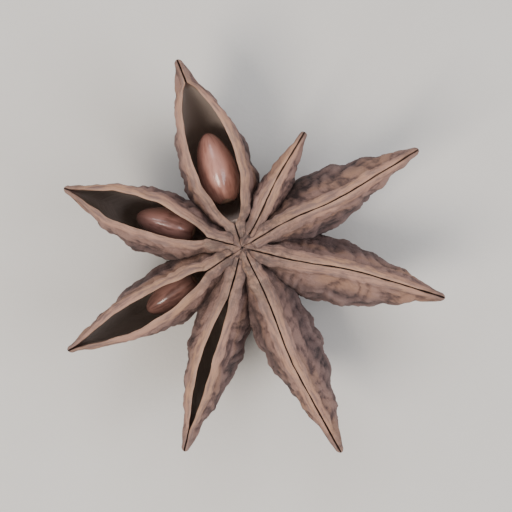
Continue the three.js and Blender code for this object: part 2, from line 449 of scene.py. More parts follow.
@dataclass(frozen=True)
class HuskFinish:
    """Dried husk: a matt wrinkled skin, lighter at the top with painted light, smooth lips and slightly
    glossy chambers.
    """

    # the skin's own darker and paler tones, with painted shade in the wrinkles' valleys and painted light
    # on their crests
    dark_tone_and_shade: str = "382c2c"
    skin: str = "644f4c"
    pale_tone_and_light: str = "826a64"
    # the top of the flank, lighter with painted light from above, and painted shade in its furrows
    lit_top: str = "93746a"
    lit_top_tan: str = "997664"
    lit_top_dark_tone_and_shade: str = "584340"
    lip: str = "a67d69"
    lip_tan: str = "aa8165"
    lip_streak: str = "7a5e55"
    lip_edge: str = "b69079"
    beak: str = "6e5b55"
    chamber: str = "967f72"
    # lighter deep in the chamber: painted light against the hollow's shade
    chamber_deep_light: str = "a4968d"
    # painted shade at the chamber's outer end
    chamber_end_shade: str = "51453d"
    seam: str = "5b453e"
    speck: str = "473632"
    fracture: str = "92796b"
    fracture_dark: str = "5c473f"

    patches: Noise = Noise(2.6)
    mottle: Noise = Noise(0.75, sharpness=0.6)
    speckle: Noise = Noise(0.2, detail=4.0, sharpness=0.65)
    streaks: Noise = Noise(0.45, (0.3, 1.8, 1.0), detail=4.0, sharpness=0.62)
    fibres: Noise = Noise(0.35, (0.25, 3.2, 1.0))
    tan: Noise = Noise(1.6, (0.4, 1.0, 1.0), detail=2.0)

    tan_ramp: Ramp = Ramp(0.44, 0.6)
    skin_ramp: Ramp = Ramp(0.02, 0.5)  # from the dark tone and painted shade of the wrinkles' valleys to skin
    pale_tone_and_light_ramp: Ramp = Ramp(0.45, 1.05)  # and on to the paler tone and painted light of the wrinkles' crests
    crest_ramp: Ramp = Ramp(0.0, 0.62, fray=0.4)  # from the lit top's dark tone and painted shade in its furrows to its crests
    lit_top_ramp: Ramp = Ramp(0.1, 0.85, fray=0.4)
    streak_ramp: Ramp = Ramp(0.34, 0.6, fray=0.4)
    hub_ramp: Ramp = Ramp(0.1, 0.5)
    speck_ramp: Ramp = Ramp(0.42, 0.62, fray=0.4)
    beak_ramp: Ramp = Ramp(0.9, 1.0, fray=0.2)
    chamber_ramp: Ramp = Ramp(0.1, 0.6)
    fracture_ramp: Ramp = Ramp(0.38, 0.62, fray=0.5)

    tone_speckle: float = 0.45  # how much each noise varies the skin's tone
    tone_patches: float = 0.5
    pale_tone_and_light_share: float = 0.8
    edge_share: float = 0.7
    hub_share: float = 0.35  # darker where the lips meet, and its specks
    speck_share: float = 0.5
    beak_share: float = 0.4
    # the painted shade at the chamber's outer end: its least strength, and how much the streaks add
    end_shade_least: float = 0.7
    end_shade_streaks: float = 0.6

    skin_roughness: float = 0.84
    lip_roughness: float = 0.5
    chamber_roughness: float = 0.36
    roughness_speckle: float = 0.2
    bump_depth: float = 0.12
    skin_mottle: float = 0.6  # what the bump has of each noise, beside the skin's speckle
    lip_fibres: float = 0.7
    lip_calm: float = 0.8
    chamber_fibres: float = 0.2

    def material(self) -> bpy.types.Material:
        """Draws up the husk's material from the marks on its mesh.

        Returns:
            The material.
        """
        board = Board("husk")
        patches, mottle, speckle = (board.noise(n) for n in (self.patches, self.mottle, self.speckle))
        streaks, fibres = board.noise(self.streaks), board.noise(self.fibres)
        tan = board.mask(board.noise(self.tan), self.tan_ramp)
        lip, inside, along = (board.mark(m) for m in (Mark.LIP, Mark.INSIDE, Mark.ALONG))

        # The skin's tone is partly its own random tone and partly painted shade in the wrinkles' valleys
        # and painted light on their crests.
        tone = board.mark(Mark.RELIEF) + self.tone_speckle * (speckle - 0.5)
        tone = tone + self.tone_patches * (patches - 0.5)
        flank = board.mix(self.dark_tone_and_shade, self.skin, board.mask(tone, self.skin_ramp))
        flank = board.mix(flank, self.pale_tone_and_light, self.pale_tone_and_light_share * board.mask(tone, self.pale_tone_and_light_ramp))
        # The top of the flank is lighter with painted light from above, with painted shade in its furrows.
        crest = board.mix(self.lit_top, self.lit_top_tan, tan)
        top = board.mix(self.lit_top_dark_tone_and_shade, crest, board.mask(tone, self.crest_ramp, mottle))
        skin = board.mix(flank, top, board.mask(board.mark(Mark.LIT_TOP), self.lit_top_ramp, patches))

        smooth = board.mix(self.lip, self.lip_tan, tan)
        band = board.mix(self.lip_streak, smooth, board.mask(streaks, self.streak_ramp, mottle))
        band = board.mix(band, self.lip_edge, self.edge_share * board.mark(Mark.EDGE))
        colour = board.mix(skin, band, lip)
        hub = 1 - board.mask(along, self.hub_ramp)
        specks = hub * board.mask(mottle, self.speck_ramp, speckle)
        colour = board.mix(colour, self.speck, self.hub_share * hub + self.speck_share * specks)
        colour = board.mix(colour, self.beak, self.beak_share * board.mask(along, self.beak_ramp, patches))

        # Deeper in the chamber the colour is lighter, painted light against the hollow's shade.
        deep_light = board.mask(board.mark(Mark.DEPTH), self.chamber_ramp)
        hollow = board.mix(self.chamber, self.chamber_deep_light, deep_light)
        # The chamber's outer end is darkened with streaked painted shade.
        end_shade = board.mark(Mark.END_SHADE) * (self.end_shade_least + self.end_shade_streaks * streaks)
        hollow = board.mix(hollow, self.chamber_end_shade, end_shade)
        colour = board.mix(colour, board.mix(self.seam, hollow, board.mark(Mark.OPEN)), inside)
        end = board.mix(self.fracture_dark, self.fracture, board.mask(mottle, self.fracture_ramp, speckle))
        colour = board.mix(colour, end, board.mark(Mark.BROKEN))

        roughness = (
            self.skin_roughness
            - (self.skin_roughness - self.lip_roughness) * lip
            - (self.skin_roughness - self.chamber_roughness) * inside
            + self.roughness_speckle * (speckle - 0.5)
        )
        outside = (
            speckle * (1 - self.lip_calm * lip)
            + self.lip_fibres * fibres * lip
            + self.skin_mottle * mottle * (1 - lip)
        )
        height = (1 - inside) * outside + self.chamber_fibres * fibres * inside
        normal = board.bump(height, self.bump_depth)
        return board.surface(Base_Color=colour, Roughness=roughness, Normal=normal)


@dataclass(frozen=True)
class SeedFinish:
    """Glossy seed coat: chestnut, faintly streaked, with a pale scar."""

    name: str = "seed_coat"
    coat: str = "a5786e"
    dark: str = "7b574f"
    scar: str = "b89a84"
    streaks: Noise = Noise(0.6, (0.35, 1.6, 1.0))
    mottle: Noise = Noise(1.4, detail=2.0)
    pits: Noise = Noise(0.12, detail=2.0)
    streak_share: float = 0.6  # the rest of the coat's tone is mottle
    coat_ramp: Ramp = Ramp(0.36, 0.56)
    roughness: float = 0.24
    scar_roughness: float = 0.35  # how much rougher the scar is
    scar_pits: float = 2.0  # and how much deeper pitted
    roughness_mottle: float = 0.12
    clear: float = 0.6
    clear_roughness: float = 0.16
    bump_depth: float = 0.012

    def material(self) -> bpy.types.Material:
        """Draws up the seed's material.

        Returns:
            The material.
        """
        board = Board(self.name)
        streaks, mottle, pits = (board.noise(n) for n in (self.streaks, self.mottle, self.pits))
        scar = board.mark(Mark.BROKEN)
        tone = self.streak_share * streaks + (1 - self.streak_share) * mottle
        coat = board.mix(self.dark, self.coat, board.mask(tone, self.coat_ramp))
        return board.surface(
            Base_Color=board.mix(coat, self.scar, scar),
            Roughness=self.roughness + self.scar_roughness * scar + self.roughness_mottle * (mottle - 0.5),
            Coat_Weight=self.clear,
            Coat_Roughness=self.clear_roughness,
            Normal=board.bump(pits + self.scar_pits * scar * pits, self.bump_depth),
        )


@dataclass(frozen=True)
class FloorFinish:
    """Pale matt card."""

    card: str = "dcd9d4"
    shade: str = "d3cfc9"
    cloud: Noise = Noise(9, detail=4.0)
    tooth: Noise = Noise(0.4)
    roughness: float = 0.9
    bump_depth: float = 0.02

    def material(self) -> bpy.types.Material:
        """Draws up the floor's material.

        Returns:
            The material.
        """
        board = Board("floor_card")
        colour = board.mix(self.shade, self.card, board.noise(self.cloud))
        normal = board.bump(board.noise(self.tooth), self.bump_depth)
        return board.surface(Base_Color=colour, Roughness=self.roughness, Normal=normal)


# ---------------------------------------------------------------------------- the husk


@dataclass(frozen=True)
class Follicle:
    """One follicle, as it differs from the others."""

    bearing: float
    length: float
    width: float
    full: float  # how far out the body keeps its full width
    lift: float  # height of its belly
    rise: float  # how far its beak curves up
    bend: float  # and to its left
    roll: float  # how far it leans
    gape: float = 0.0  # widest gap between the lips
    opening: Span = (0.0, 1.0)  # the stretch of the seam that gapes
    end_shade: float = 0.0  # how dark the painted shade at the chamber's outer end is

    @property
    def is_open(self) -> bool:
        """Whether the seam gapes."""
        return self.gape > 0


FOLLICLES = (
    # bearing, length, width, full, lift, rise, bend, roll, and those of an open one
    Follicle(107.0, 12.6, 4.7, 0.5, -0.1, 1.0, 0.45, 0, gape=2.9, opening=(0.13, 0.87), end_shade=0.28),
    Follicle(164.0, 11.8, 4.2, 0.57, 0.3, 1.6, -0.05, 5, gape=2.1, opening=(0.2, 0.98), end_shade=1.0),
    Follicle(213.5, 12.8, 3.8, 0.53, -0.1, 1.1, -0.8, -2, gape=1.8, opening=(0.22, 0.98), end_shade=0.45),
    Follicle(255.0, 13.5, 3.6, 0.5, 0.4, 0.5, 0.3, 7, gape=0.9, opening=(0.26, 0.88), end_shade=0.22),
    Follicle(296.5, 14.4, 3.8, 0.5, -0.12, 1.3, 0.6, 9),
    Follicle(346.0, 13.3, 4.2, 0.5, 0.25, 0.7, -0.5, -7),
    Follicle(31.0, 12.7, 4.0, 0.45, -0.12, 1.8, 0.4, 9),
    Follicle(61.0, 8.4, 2.5, 0.35, 2.0, 0.3, -0.2, -4),
)


PIECE_STEP = 10  # between the grain numbers of two follicles
FLANK_STEP = 5  # and between those of a follicle's flanks


@dataclass(frozen=True)
class FoldWave:
    """One wave of the broad folds. shift sets each follicle's apart, and slant leans it."""

    pitch: float
    shift: float
    slant: float


@dataclass(frozen=True)
class SectionSizes:
    """What the follicles' sections share."""

    core_top: float = 7.3  # height of the lips where they meet at the middle
    lip_dip: float = 0.35  # how far the lips sag between the middle and the beak
    lip_width: float = 0.74  # by the column
    lip_at_beak: float = 0.42
    lip_least: float = 0.35  # share of its thickness that a lip keeps where the body runs out
    lip_round: float = 0.16  # height lost over the lip's outer edge
    lip_inner: float = 0.07  # height lost over its inner edge
    lip_full_at: float = 1.25  # half width of body from which a lip has its full thickness
    wall: float = 0.4  # thickness of the woody wall beside a seed chamber
    wall_gap: float = 0.05  # least half width of a chamber
    web: float = 0.28  # how far a follicle runs past the border with its neighbour near the column
    partition: float = 0.45  # how far a chamber keeps from that border, clear of the neighbour's web
    hub_depth: float = 0.3  # depth of the widest point by the column
    hub: Span = (1.5, 5.0)  # distance from the axis over which that depth changes
    keel_at_core: float = 2.1  # height of the keel where it leaves the column
    chamber_start: float = 1.9  # distance from the axis
    seam_half: float = 0.11
    seam_depth: float = 0.32
    seam_parts: Span = (0.8, 2.5)  # the gap, in seams, over which a groove becomes an opening
    beak_base_half: float = 0.55
    beak_tip_half: float = 0.2
    beak_base_depth: float = 1.7
    beak_tip_depth: float = 0.45
    belly_at: float = 0.42  # where the keel is lowest
    bend_from: float = 0.2
    widest_depth: float = 0.48
    chamber_depth: float = 0.87
    chamber_spread: float = 0.4  # depth within a chamber at which it has its full width
    roll_pivot: float = 3.6  # height about which a follicle leans
    roll: Span = (0.2, 0.6)  # over which the lean sets in
    fold_height: float = 0.12
    fold_offset: float = 1.1  # sets the two flanks' folds apart
    fold_fade: float = 0.2  # where on a half wave the folds' height starts at the keel
    folds: tuple[FoldWave, ...] = (FoldWave(2.7, 2.3, 2.6), FoldWave(1.9, 3.3, -1.4))
    round_tip: float = 0.018  # share of the length over which the beak is rounded off
    dimple: float = 0.3  # how far the lips sink round the column's tip
    dimple_radius: float = 1.1


@dataclass(frozen=True)
class CurvePowers:
    """Powers that shape a follicle's curves: 1 is straight, more is fuller or later."""

    beak_rise: float = 2.6
    bend: float = 2.0
    keel_drop: float = 1.8
    keel_belly: float = 1.8
    keel_beak: float = 1.2
    taper_belly: float = 1.4
    taper_beak: float = 1.15
    gape: float = 0.65
    chamber_ends: float = 3.5
    chamber_floor: float = 4.0
    neck: float = 1.6
    keel_round: float = 0.575
    lip_outer: float = 2.2
    lip_inner: float = 6.0


@dataclass(frozen=True)
class Ripple:
    """Noise along a lip: its size, and what sets its copies on other sides and follicles apart."""

    size: float
    side_step: float
    plane: float = 0.0
    follicle_step: float = 5.0

    def at(self, x: np.ndarray, side: Side, index: int) -> np.ndarray:
        """Returns the noise at distance x from the axis."""
        plane = self.follicle_step * index + self.plane
        return LATTICE.at(x / self.size, self.side_step * side.value, plane)


@dataclass(frozen=True)
class Layer:
    """One layer of relief. Its sizes and sways are along and round the follicle.

    sway is how far the common sway bends it, plane sets its noise apart from the others', and shares
    are the shares of its height that it has at the top of the flank and low on it.
    """

    height: float
    size: tuple[float, float]
    plane: float = 0.0
    sway: tuple[float, float] = (0.0, 0.0)
    shares: tuple[float, float] = (1.0, 1.0)

    def place(self, x: np.ndarray, below: np.ndarray, sway: float | np.ndarray = 0.0) -> tuple:
        """Returns where the layer's noise is read, for points at distance x and below the lip."""
        return x / self.size[0] + self.sway[0] * sway, below / self.size[1] + self.sway[1] * sway


@dataclass(frozen=True)
class Relief:
    """The shrunken skin's relief, and the waver of the lips."""

    wrinkles: tuple[Layer, ...] = (
        Layer(0.24, (2.6, 0.8), plane=3, sway=(1, 1), shares=(0.5, 1.2)),  # long ones, low on the flank
        Layer(0.2, (0.85, 1.7), plane=31, sway=(-1, 0.5), shares=(1.35, 0.8)),  # across, below the lip
        Layer(0.1, (0.5, 0.32), plane=57, sway=(0, 1)),  # fine ones
    )
    sway_size: float = 2.6
    follicle_step: float = 9.0  # sets the noise of one follicle apart from the next's
    side_step: float = 100.0  # and that of one flank from the other's
    low: Span = (0.5, 4.0)  # distance below the lip from the top of the flank to low on it
    start: Span = (0.03, 0.12)  # over which the relief sets in along the follicle
    full_clear: float = 0.35  # distance from the neighbour at which the relief has its full height
    keel_blend: float = 0.9  # distance from the keel over which the two flanks' wrinkles run together
    shoulder_calm: float = 0.35  # how much lower the wrinkles are on the shoulder
    beak_calm: float = 0.8  # and at the beak
    beak: Span = (0.86, 0.97)
    gutter_height: float = -0.09  # the shallow groove just below the lip
    gutter_place: float = 0.32
    gutter_width: float = 0.2
    lip_height: float = 0.03
    lip_grain: tuple[Layer, ...] = (Layer(1.0, (1.1, 0.3)), Layer(0.6, (0.4, 0.3), plane=60))
    lip_follicle_step: float = 4.0
    lip_side_step: float = 2.0
    waver: Ripple = Ripple(1.3, 3.0)  # sideways, of the lips' inner edges
    swell: Ripple = Ripple(2.2, 7.0, plane=2)  # of their height and thickness
    tangle: Ripple = Ripple(0.7, 11.0, plane=40)  # where they meet
    steady: Span = (0.88, 0.97)  # towards the beak, where waver and swell end
    lip_waver: float = 0.08
    lip_swell: float = 0.14
    tangle_height: float = 0.22
    tangle_width: float = 0.3
    tangle_radius: float = 2.4
    seam_mean: float = 0.45  # a closed seam's width, as a share of seam_half, and its waver
    seam_waver: float = 0.3


@dataclass(frozen=True)
class Bands:
    """Where the husk's marks begin and end, as shares of the flank, lip, wall or length they lie on."""

    lip_on_flank: Span = (0.9, 1.0)
    lip_on_crown: Span = (0.0, 0.3)
    lip_at_edge: float = 0.35  # its strength at the lip's outer edge
    inside: Span = (0.0, 0.12)  # down the wall
    edge_on_crown: Span = (0.6, 1.0)
    edge_on_wall: Span = (0.02, 0.14)
    groove_depth: float = 0.3  # the mark that a groove's floor has of a chamber's depth
    beak: Span = (0.86, 0.98)
    beak_fade: float = 0.7
    lit_top: Span = (0.3, 2.4)  # distance below the lip over which the painted light on the top ends
    hub: Span = (2.0, 5.0)  # distance from the axis over which that painted light grows to full
    hub_share: float = 0.75  # its strength by the column
    # where the painted shade at the chamber's outer end sets in along the follicle
    end_shade: Span = (0.55, 0.85)
    relief_range: float = 4.0  # standard deviations from the bottom of a wrinkle to its crest


@dataclass(frozen=True)
class Profile:
    """The sizes of every section on one side, as columns."""

    x: np.ndarray  # distance from the axis
    top: np.ndarray  # height of the lip
    depth: np.ndarray  # from the lip to the keel
    border: np.ndarray  # half width at which the neighbour begins
    half: np.ndarray  # half width of the body
    lip_half: np.ndarray  # and over the lips
    gap_half: np.ndarray  # and between them
    widest: np.ndarray  # depth of the body's widest point
    hollow: np.ndarray  # how fully the chamber is hollowed


@dataclass(frozen=True)
class Strip:
    """A stretch of every section, as (sections, points): half widths, heights and marks."""

    y: np.ndarray
    z: np.ndarray
    marks: dict[Mark, np.ndarray]


def join(parts: list[np.ndarray]) -> np.ndarray:
    """Returns stretches of the sections as one."""
    return np.concatenate(parts, axis=1)


def go_round(left: np.ndarray, right: np.ndarray) -> np.ndarray:
    """Returns the left half of every section and the right one back to where the left one starts."""
    return join([left, right[:, -2:0:-1]])


@dataclass
class FollicleShell:
    """Works out one follicle's surface."""

    index: int
    sizes: SectionSizes = SectionSizes()
    powers: CurvePowers = CurvePowers()
    relief: Relief = Relief()
    bands: Bands = Bands()
    stations: int = 100
    tip_stations: int = 6
    flank_points: int = 46
    crown_points: int = 9
    wall_points: int = 18
    groove_points: int = 4

    @property
    def follicle(self) -> Follicle:
        """The follicle that is worked out."""
        return FOLLICLES[self.index]

    def _wedge(self, side: Side) -> float:
        """Works out how far the follicle may spread beside a neighbour.

        Args:
            side: The neighbour's side.

        Returns:
            The angle to their border, in radians.
        """
        own = self.follicle
        other = FOLLICLES[(self.index + side.value) % len(FOLLICLES)]
        between = (side.value * (other.bearing - own.bearing)) % 360
        return math.radians(between * own.width / (own.width + other.width))

    def _lip_height(self, t: np.ndarray) -> np.ndarray:
        """Returns the height of the lips at t."""
        sag = self.sizes.lip_dip * np.sin(np.pi * t)
        return self.sizes.core_top - sag + self.follicle.rise * t**self.powers.beak_rise

    def _depth(self, t: np.ndarray) -> np.ndarray:
        """Works out the depth from lips to keel.

        Args:
            t: Places along the follicle.

        Returns:
            The depth there.
        """
        sizes, powers, follicle = self.sizes, self.powers, self.follicle
        back = np.clip(1 - t / sizes.belly_at, 0, 1) ** powers.keel_drop
        at_core = max(sizes.keel_at_core, follicle.lift)
        inner = self._lip_height(t) - blend(follicle.lift, at_core, back)
        s = np.clip((t - sizes.belly_at) / (1 - sizes.belly_at), 0, 1)
        belly = self._lip_height(np.array(sizes.belly_at)) - follicle.lift
        sweep = (1 - s**powers.keel_belly) ** powers.keel_beak
        beak = blend(sizes.beak_base_depth, sizes.beak_tip_depth, s)
        outer = beak + (belly - sizes.beak_base_depth) * sweep
        return np.where(t < sizes.belly_at, inner, outer)

    def _free_half(self, t: np.ndarray) -> np.ndarray:
        """Works out the body's width, before its neighbours crowd it.

        Args:
            t: Places along the follicle.

        Returns:
            Half the width there.
        """
        sizes, powers = self.sizes, self.powers
        full = self.follicle.full
        s = np.clip((t - full) / (1 - full), 0, 1)
        taper = (1 - s**powers.taper_belly) ** powers.taper_beak
        beak = blend(sizes.beak_base_half, sizes.beak_tip_half, s)
        outer = beak + (self.follicle.width / 2 - sizes.beak_base_half) * taper
        return np.where(t < full, self.follicle.width / 2, outer)

    def _gape_share(self, t: np.ndarray) -> np.ndarray:
        """Returns how far the seam gapes at t."""
        start, end = self.follicle.opening
        return np.sin(np.pi * np.clip((t - start) / (end - start), 0, 1)) ** self.powers.gape

    def _hollow(self, t: np.ndarray) -> np.ndarray:
        """Works out where the seed chamber is.

        Args:
            t: Places along the follicle.

        Returns:
            How fully it is hollowed there, from 0 to 1.
        """
        if not self.follicle.is_open:
            return np.zeros_like(t)
        start = self.sizes.chamber_start / self.follicle.length
        along = np.clip((t - start) / (self.follicle.opening[1] - start), 0, 1)
        return np.sqrt(1 - np.abs(2 * along - 1) ** self.powers.chamber_ends)

    def _profile(self, t: np.ndarray, side: Side) -> Profile:
        """Works out the sizes of every section on one side.

        Args:
            t: The sections' places, as a column.
            side: The side.

        Returns:
            The sizes.
        """
        sizes, relief = self.sizes, self.relief
        x = t * self.follicle.length
        steady = 1 - ease(t, *relief.steady)
        waver = relief.waver.at(x, side, self.index) * steady
        swell = relief.swell.at(x, side, self.index) * steady
        tangle = relief.tangle.at(x, side, self.index) * hump(x, relief.tangle_radius)
        dimple = sizes.dimple * hump(x, sizes.dimple_radius)
        border = x * math.tan(self._wedge(side))
        half = np.minimum(self._free_half(t), border + sizes.web)
        lip = blend(sizes.lip_width, sizes.lip_at_beak, t)
        lip = lip * blend(sizes.lip_least, 1, np.minimum(1, half / sizes.lip_full_at))
        lip = lip * (1 + relief.lip_swell * swell + relief.tangle_width * tangle)
        seam_half = sizes.seam_half * (relief.seam_mean + relief.seam_waver * waver)
        gape = max(self.follicle.gape / 2 - sizes.seam_half, 0) * self._gape_share(t)
        gap_half = seam_half + np.clip(half - lip - sizes.seam_half, 0, gape)
        gap_half = gap_half + relief.lip_waver * waver * np.minimum(1, gape)
        return Profile(
            x=x,
            top=self._lip_height(t) + relief.lip_waver * swell + relief.tangle_height * tangle - dimple,
            depth=self._depth(t),
            border=border,
            half=half,
            lip_half=np.minimum(gap_half + lip, half),
            gap_half=gap_half,
            widest=blend(sizes.hub_depth, sizes.widest_depth, ease(x, *sizes.hub)),
            hollow=self._hollow(t),
        )

    def _half_at(self, q: np.ndarray, profile: Profile) -> np.ndarray:
        """Works out the body's outline on one side.

        Args:
            q: Depths in the section.
            profile: The sections' sizes.

        Returns:
            The half width at those depths.
        """
        lip_half, half, widest = profile.lip_half, profile.half, profile.widest
        neck = np.sin(np.pi / 2 * np.clip(q / widest, 0, 1)) ** self.powers.neck
        below = np.clip((q - widest) / (1 - widest), 0, 1)
        keel = half * (1 - below**2) ** self.powers.keel_round
        return np.where(q < widest, lip_half + (half - lip_half) * neck, keel)

    def _fold(self, x: np.ndarray, up: np.ndarray, side: Side) -> np.ndarray:
        """Works out the broad shallow folds of a flank.

        Args:
            x: Distance from the axis.
            up: The share of the way from the keel up to the lip.
            side: The side.

        Returns:
            Their height, which ends at the lip.
        """
        sizes = self.sizes
        waves = [
            np.sin(
                2 * np.pi * x / wave.pitch
                + wave.shift * self.index
                + side.value * (sizes.fold_offset + wave.slant * up)
            )
            for wave in sizes.folds
        ]
        return sizes.fold_height * np.mean(waves, axis=0) * np.sin(np.pi * blend(sizes.fold_fade, 1, up))

    def _flank(self, profile: Profile, side: Side) -> Strip:
        """Works out the flank, from the keel up to the lip's outer edge.

        Args:
            profile: The sections' sizes.
            side: The side.

        Returns:
            The flank.
        """
        up = np.linspace(0, 1, self.flank_points)[None, :]
        below_widest = blend(profile.widest, 1, np.cos(np.pi * up))
        q = np.where(up < 0.5, below_widest, 2 * profile.widest * (1 - up))
        fold = self._fold(profile.x, up, side)
        y = self._half_at(q, profile)
        y = y + fold * np.minimum(1, y)
        z = profile.top - blend(self.sizes.lip_round, profile.depth + fold / 2, q)
        return Strip(y, z, {Mark.LIP: self.bands.lip_at_edge * ease(up, *self.bands.lip_on_flank)})

    def _crown(self, profile: Profile) -> Strip:
        """Works out the lip's top, from its outer to its inner edge.

        Args:
            profile: The sections' sizes.

        Returns:
            The lip's top.
        """
        sizes, powers, bands = self.sizes, self.powers, self.bands
        over = np.linspace(0, 1, self.crown_points + 1)[None, 1:]
        y = blend(profile.lip_half, profile.gap_half, over)
        z = profile.top - sizes.lip_round * (1 - over) ** powers.lip_outer
        z = z - sizes.lip_inner * over**powers.lip_inner
        lip = blend(bands.lip_at_edge, 1, ease(over, *bands.lip_on_crown))
        return Strip(y, z, {Mark.LIP: lip, Mark.EDGE: ease(over, *bands.edge_on_crown)})

    def _wall(self, profile: Profile) -> Strip:
        """Works out the wall of the chamber, or of a closed seam's groove, down to its floor.

        Args:
            profile: The sections' sizes.

        Returns:
            The wall.
        """
        sizes, bands = self.sizes, self.bands
        points = self.wall_points if self.follicle.is_open else self.groove_points
        down = np.linspace(0, 1, points + 1)[None, 1:]
        floor = blend(sizes.seam_depth, profile.depth * sizes.chamber_depth, profile.hollow)
        outer = self._half_at(floor * down / profile.depth, profile)
        room = np.minimum(outer - sizes.wall, profile.border - sizes.partition)
        full = blend(profile.gap_half, np.maximum(room, sizes.wall_gap), profile.hollow)
        spread = np.sin(np.pi / 2 * np.minimum(1, down / sizes.chamber_spread))
        y = blend(profile.gap_half, full, spread) * np.sqrt(1 - down**self.powers.chamber_floor)
        z = profile.top - sizes.lip_inner - (floor - sizes.lip_inner) * down
        inside = ease(down, *bands.inside)
        edge = 1 - ease(down, *bands.edge_on_wall)
        depth = down * blend(bands.groove_depth, 1, profile.hollow)
        return Strip(y, z, {Mark.LIP: 1 - inside, Mark.EDGE: edge, Mark.INSIDE: inside, Mark.DEPTH: depth})

    def _half_section(self, t: np.ndarray, side: Side) -> tuple[Strip, np.ndarray]:
        """Works out one side of every section, from the keel over the lip to the chamber's floor.

        Args:
            t: The sections' places, as a column.
            side: The side.

        Returns:
            The side, and its points' distance clear of the neighbour.
        """
        sizes, bands = self.sizes, self.bands
        profile = self._profile(t, side)
        strips = (self._flank(profile, side), self._crown(profile), self._wall(profile))
        y, z = join([s.y for s in strips]), join([s.z for s in strips])
        marks = {
            mark: join([s.marks.get(mark, 0) + 0 * s.y for s in strips])
            for mark in (Mark.LIP, Mark.EDGE, Mark.INSIDE, Mark.DEPTH)
        }
        marks[Mark.LIP] = marks[Mark.LIP] * (1 - bands.beak_fade * ease(t, *bands.beak))
        parts_from, parts_at = (seams * sizes.seam_half for seams in sizes.seam_parts)
        marks[Mark.OPEN] = ease(profile.gap_half, parts_from, parts_at) + 0 * y
        return Strip(y, z, marks), profile.border - y

    def _place(self, t: np.ndarray, y: np.ndarray, z: np.ndarray) -> np.ndarray:
        """Sets section points in the pod's frame, with the follicle's lean, bend and bearing.

        Args:
            t: Places along the follicle.
            y: Distances to the left of its middle.
            z: Heights.

        Returns:
            The points.
        """
        sizes, follicle = self.sizes, self.follicle
        roll = math.radians(follicle.roll) * ease(t, *sizes.roll)
        bent = np.clip((t - sizes.bend_from) / (1 - sizes.bend_from), 0, 1) ** self.powers.bend
        above = z - sizes.roll_pivot
        sideways = y * np.cos(roll) - above * np.sin(roll) + follicle.bend * bent
        height = sizes.roll_pivot + y * np.sin(roll) + above * np.cos(roll)
        out = t * follicle.length + 0 * y
        cos, sin = math.cos(math.radians(follicle.bearing)), math.sin(math.radians(follicle.bearing))
        return np.stack([out * cos - sideways * sin, out * sin + sideways * cos, height], axis=-1)

    def _wrinkles(self, x: np.ndarray, below: np.ndarray, side: Side) -> np.ndarray:
        """Works out one flank's wrinkles.

        Args:
            x: Distance from the axis.
            below: Distance below that side's lip, over the surface.
            side: The side.

        Returns:
            The height over the smooth flank.
        """
        relief = self.relief
        plane = relief.follicle_step * self.index + relief.side_step * side.value
        sway = LATTICE.at(x / relief.sway_size, below / relief.sway_size, plane)
        low = ease(below, *relief.low)
        return sum(
            layer.height
            * blend(*layer.shares, low)
            * LATTICE.folds(*layer.place(x, below, sway), plane + layer.plane)
            for layer in relief.wrinkles
        )

    def _stations(self) -> tuple[np.ndarray, np.ndarray]:
        """Spaces out the sections.

        Returns:
            Their places, and how far each is shrunk to round off the beak, as columns.
        """
        round_tip = self.sizes.round_tip
        body = np.linspace(0, 1 - round_tip, self.stations - self.tip_stations)
        turn = np.linspace(0, np.pi / 2, self.tip_stations + 2)[1:-1]
        t = np.concatenate([body, 1 - round_tip * (1 - np.sin(turn))])
        return t[:, None], np.concatenate([np.ones_like(body), np.cos(turn)])[:, None]

    def _below_lips(self, rings: np.ndarray) -> tuple[np.ndarray, np.ndarray, np.ndarray]:
        """Measures the rings over the surface.

        Args:
            rings: The smooth surface's points.

        Returns:
            The distance from the keel, which is negative on the right, and those below the left
            and the right lip.
        """
        steps = np.linalg.norm(np.diff(rings, axis=1, append=rings[:, :1]), axis=-1)
        walk = np.cumsum(steps, axis=1) - steps
        around = steps.sum(axis=1, keepdims=True)
        lip_at = self.flank_points - 1
        points_left = steps.shape[1] // 2 + 1
        is_left = (np.arange(steps.shape[1]) < points_left)[None, :]
        from_keel = np.where(is_left, walk, walk - around)
        left = walk[:, lip_at : lip_at + 1] - from_keel
        right = around - walk[:, -lip_at : -lip_at + 1 or None] + from_keel
        return from_keel, left, right

    def shell(self) -> Shell:
        """Works out the follicle with its relief.

        Returns:
            Its closed surface, with its marks.
        """
        relief, bands = self.relief, self.bands
        t, shrink = self._stations()
        (left, left_clear), (right, right_clear) = (self._half_section(t, side) for side in Side)
        marks = {mark: go_round(left.marks[mark], right.marks[mark]) for mark in left.marks}
        clear = go_round(left_clear, right_clear)
        middle = self._lip_height(t) - self._depth(t) / 2
        y = go_round(left.y, -right.y) * shrink
        z = middle + (go_round(left.z, right.z) - middle) * shrink
        rings = self._place(t, y, z)

        from_keel, below_left, below_right = self._below_lips(rings)
        is_left = from_keel >= 0
        below = np.where(is_left, below_left, below_right)
        x = t * self.follicle.length + 0 * below
        wrinkles = blend(
            self._wrinkles(x, below_right, Side.RIGHT),
            self._wrinkles(x, below_left, Side.LEFT),
            ease(from_keel, -relief.keel_blend, relief.keel_blend),
        )
        wrinkles = wrinkles - wrinkles.mean()
        gutter = relief.gutter_height * hump(below - relief.gutter_place, relief.gutter_width)
        plane = relief.lip_follicle_step * self.index + relief.lip_side_step * is_left
        grain = sum(
            layer.height * LATTICE.at(*layer.place(x, below), plane + layer.plane)
            for layer in relief.lip_grain
        )
        skin = 1 - marks[Mark.LIP] - marks[Mark.INSIDE]
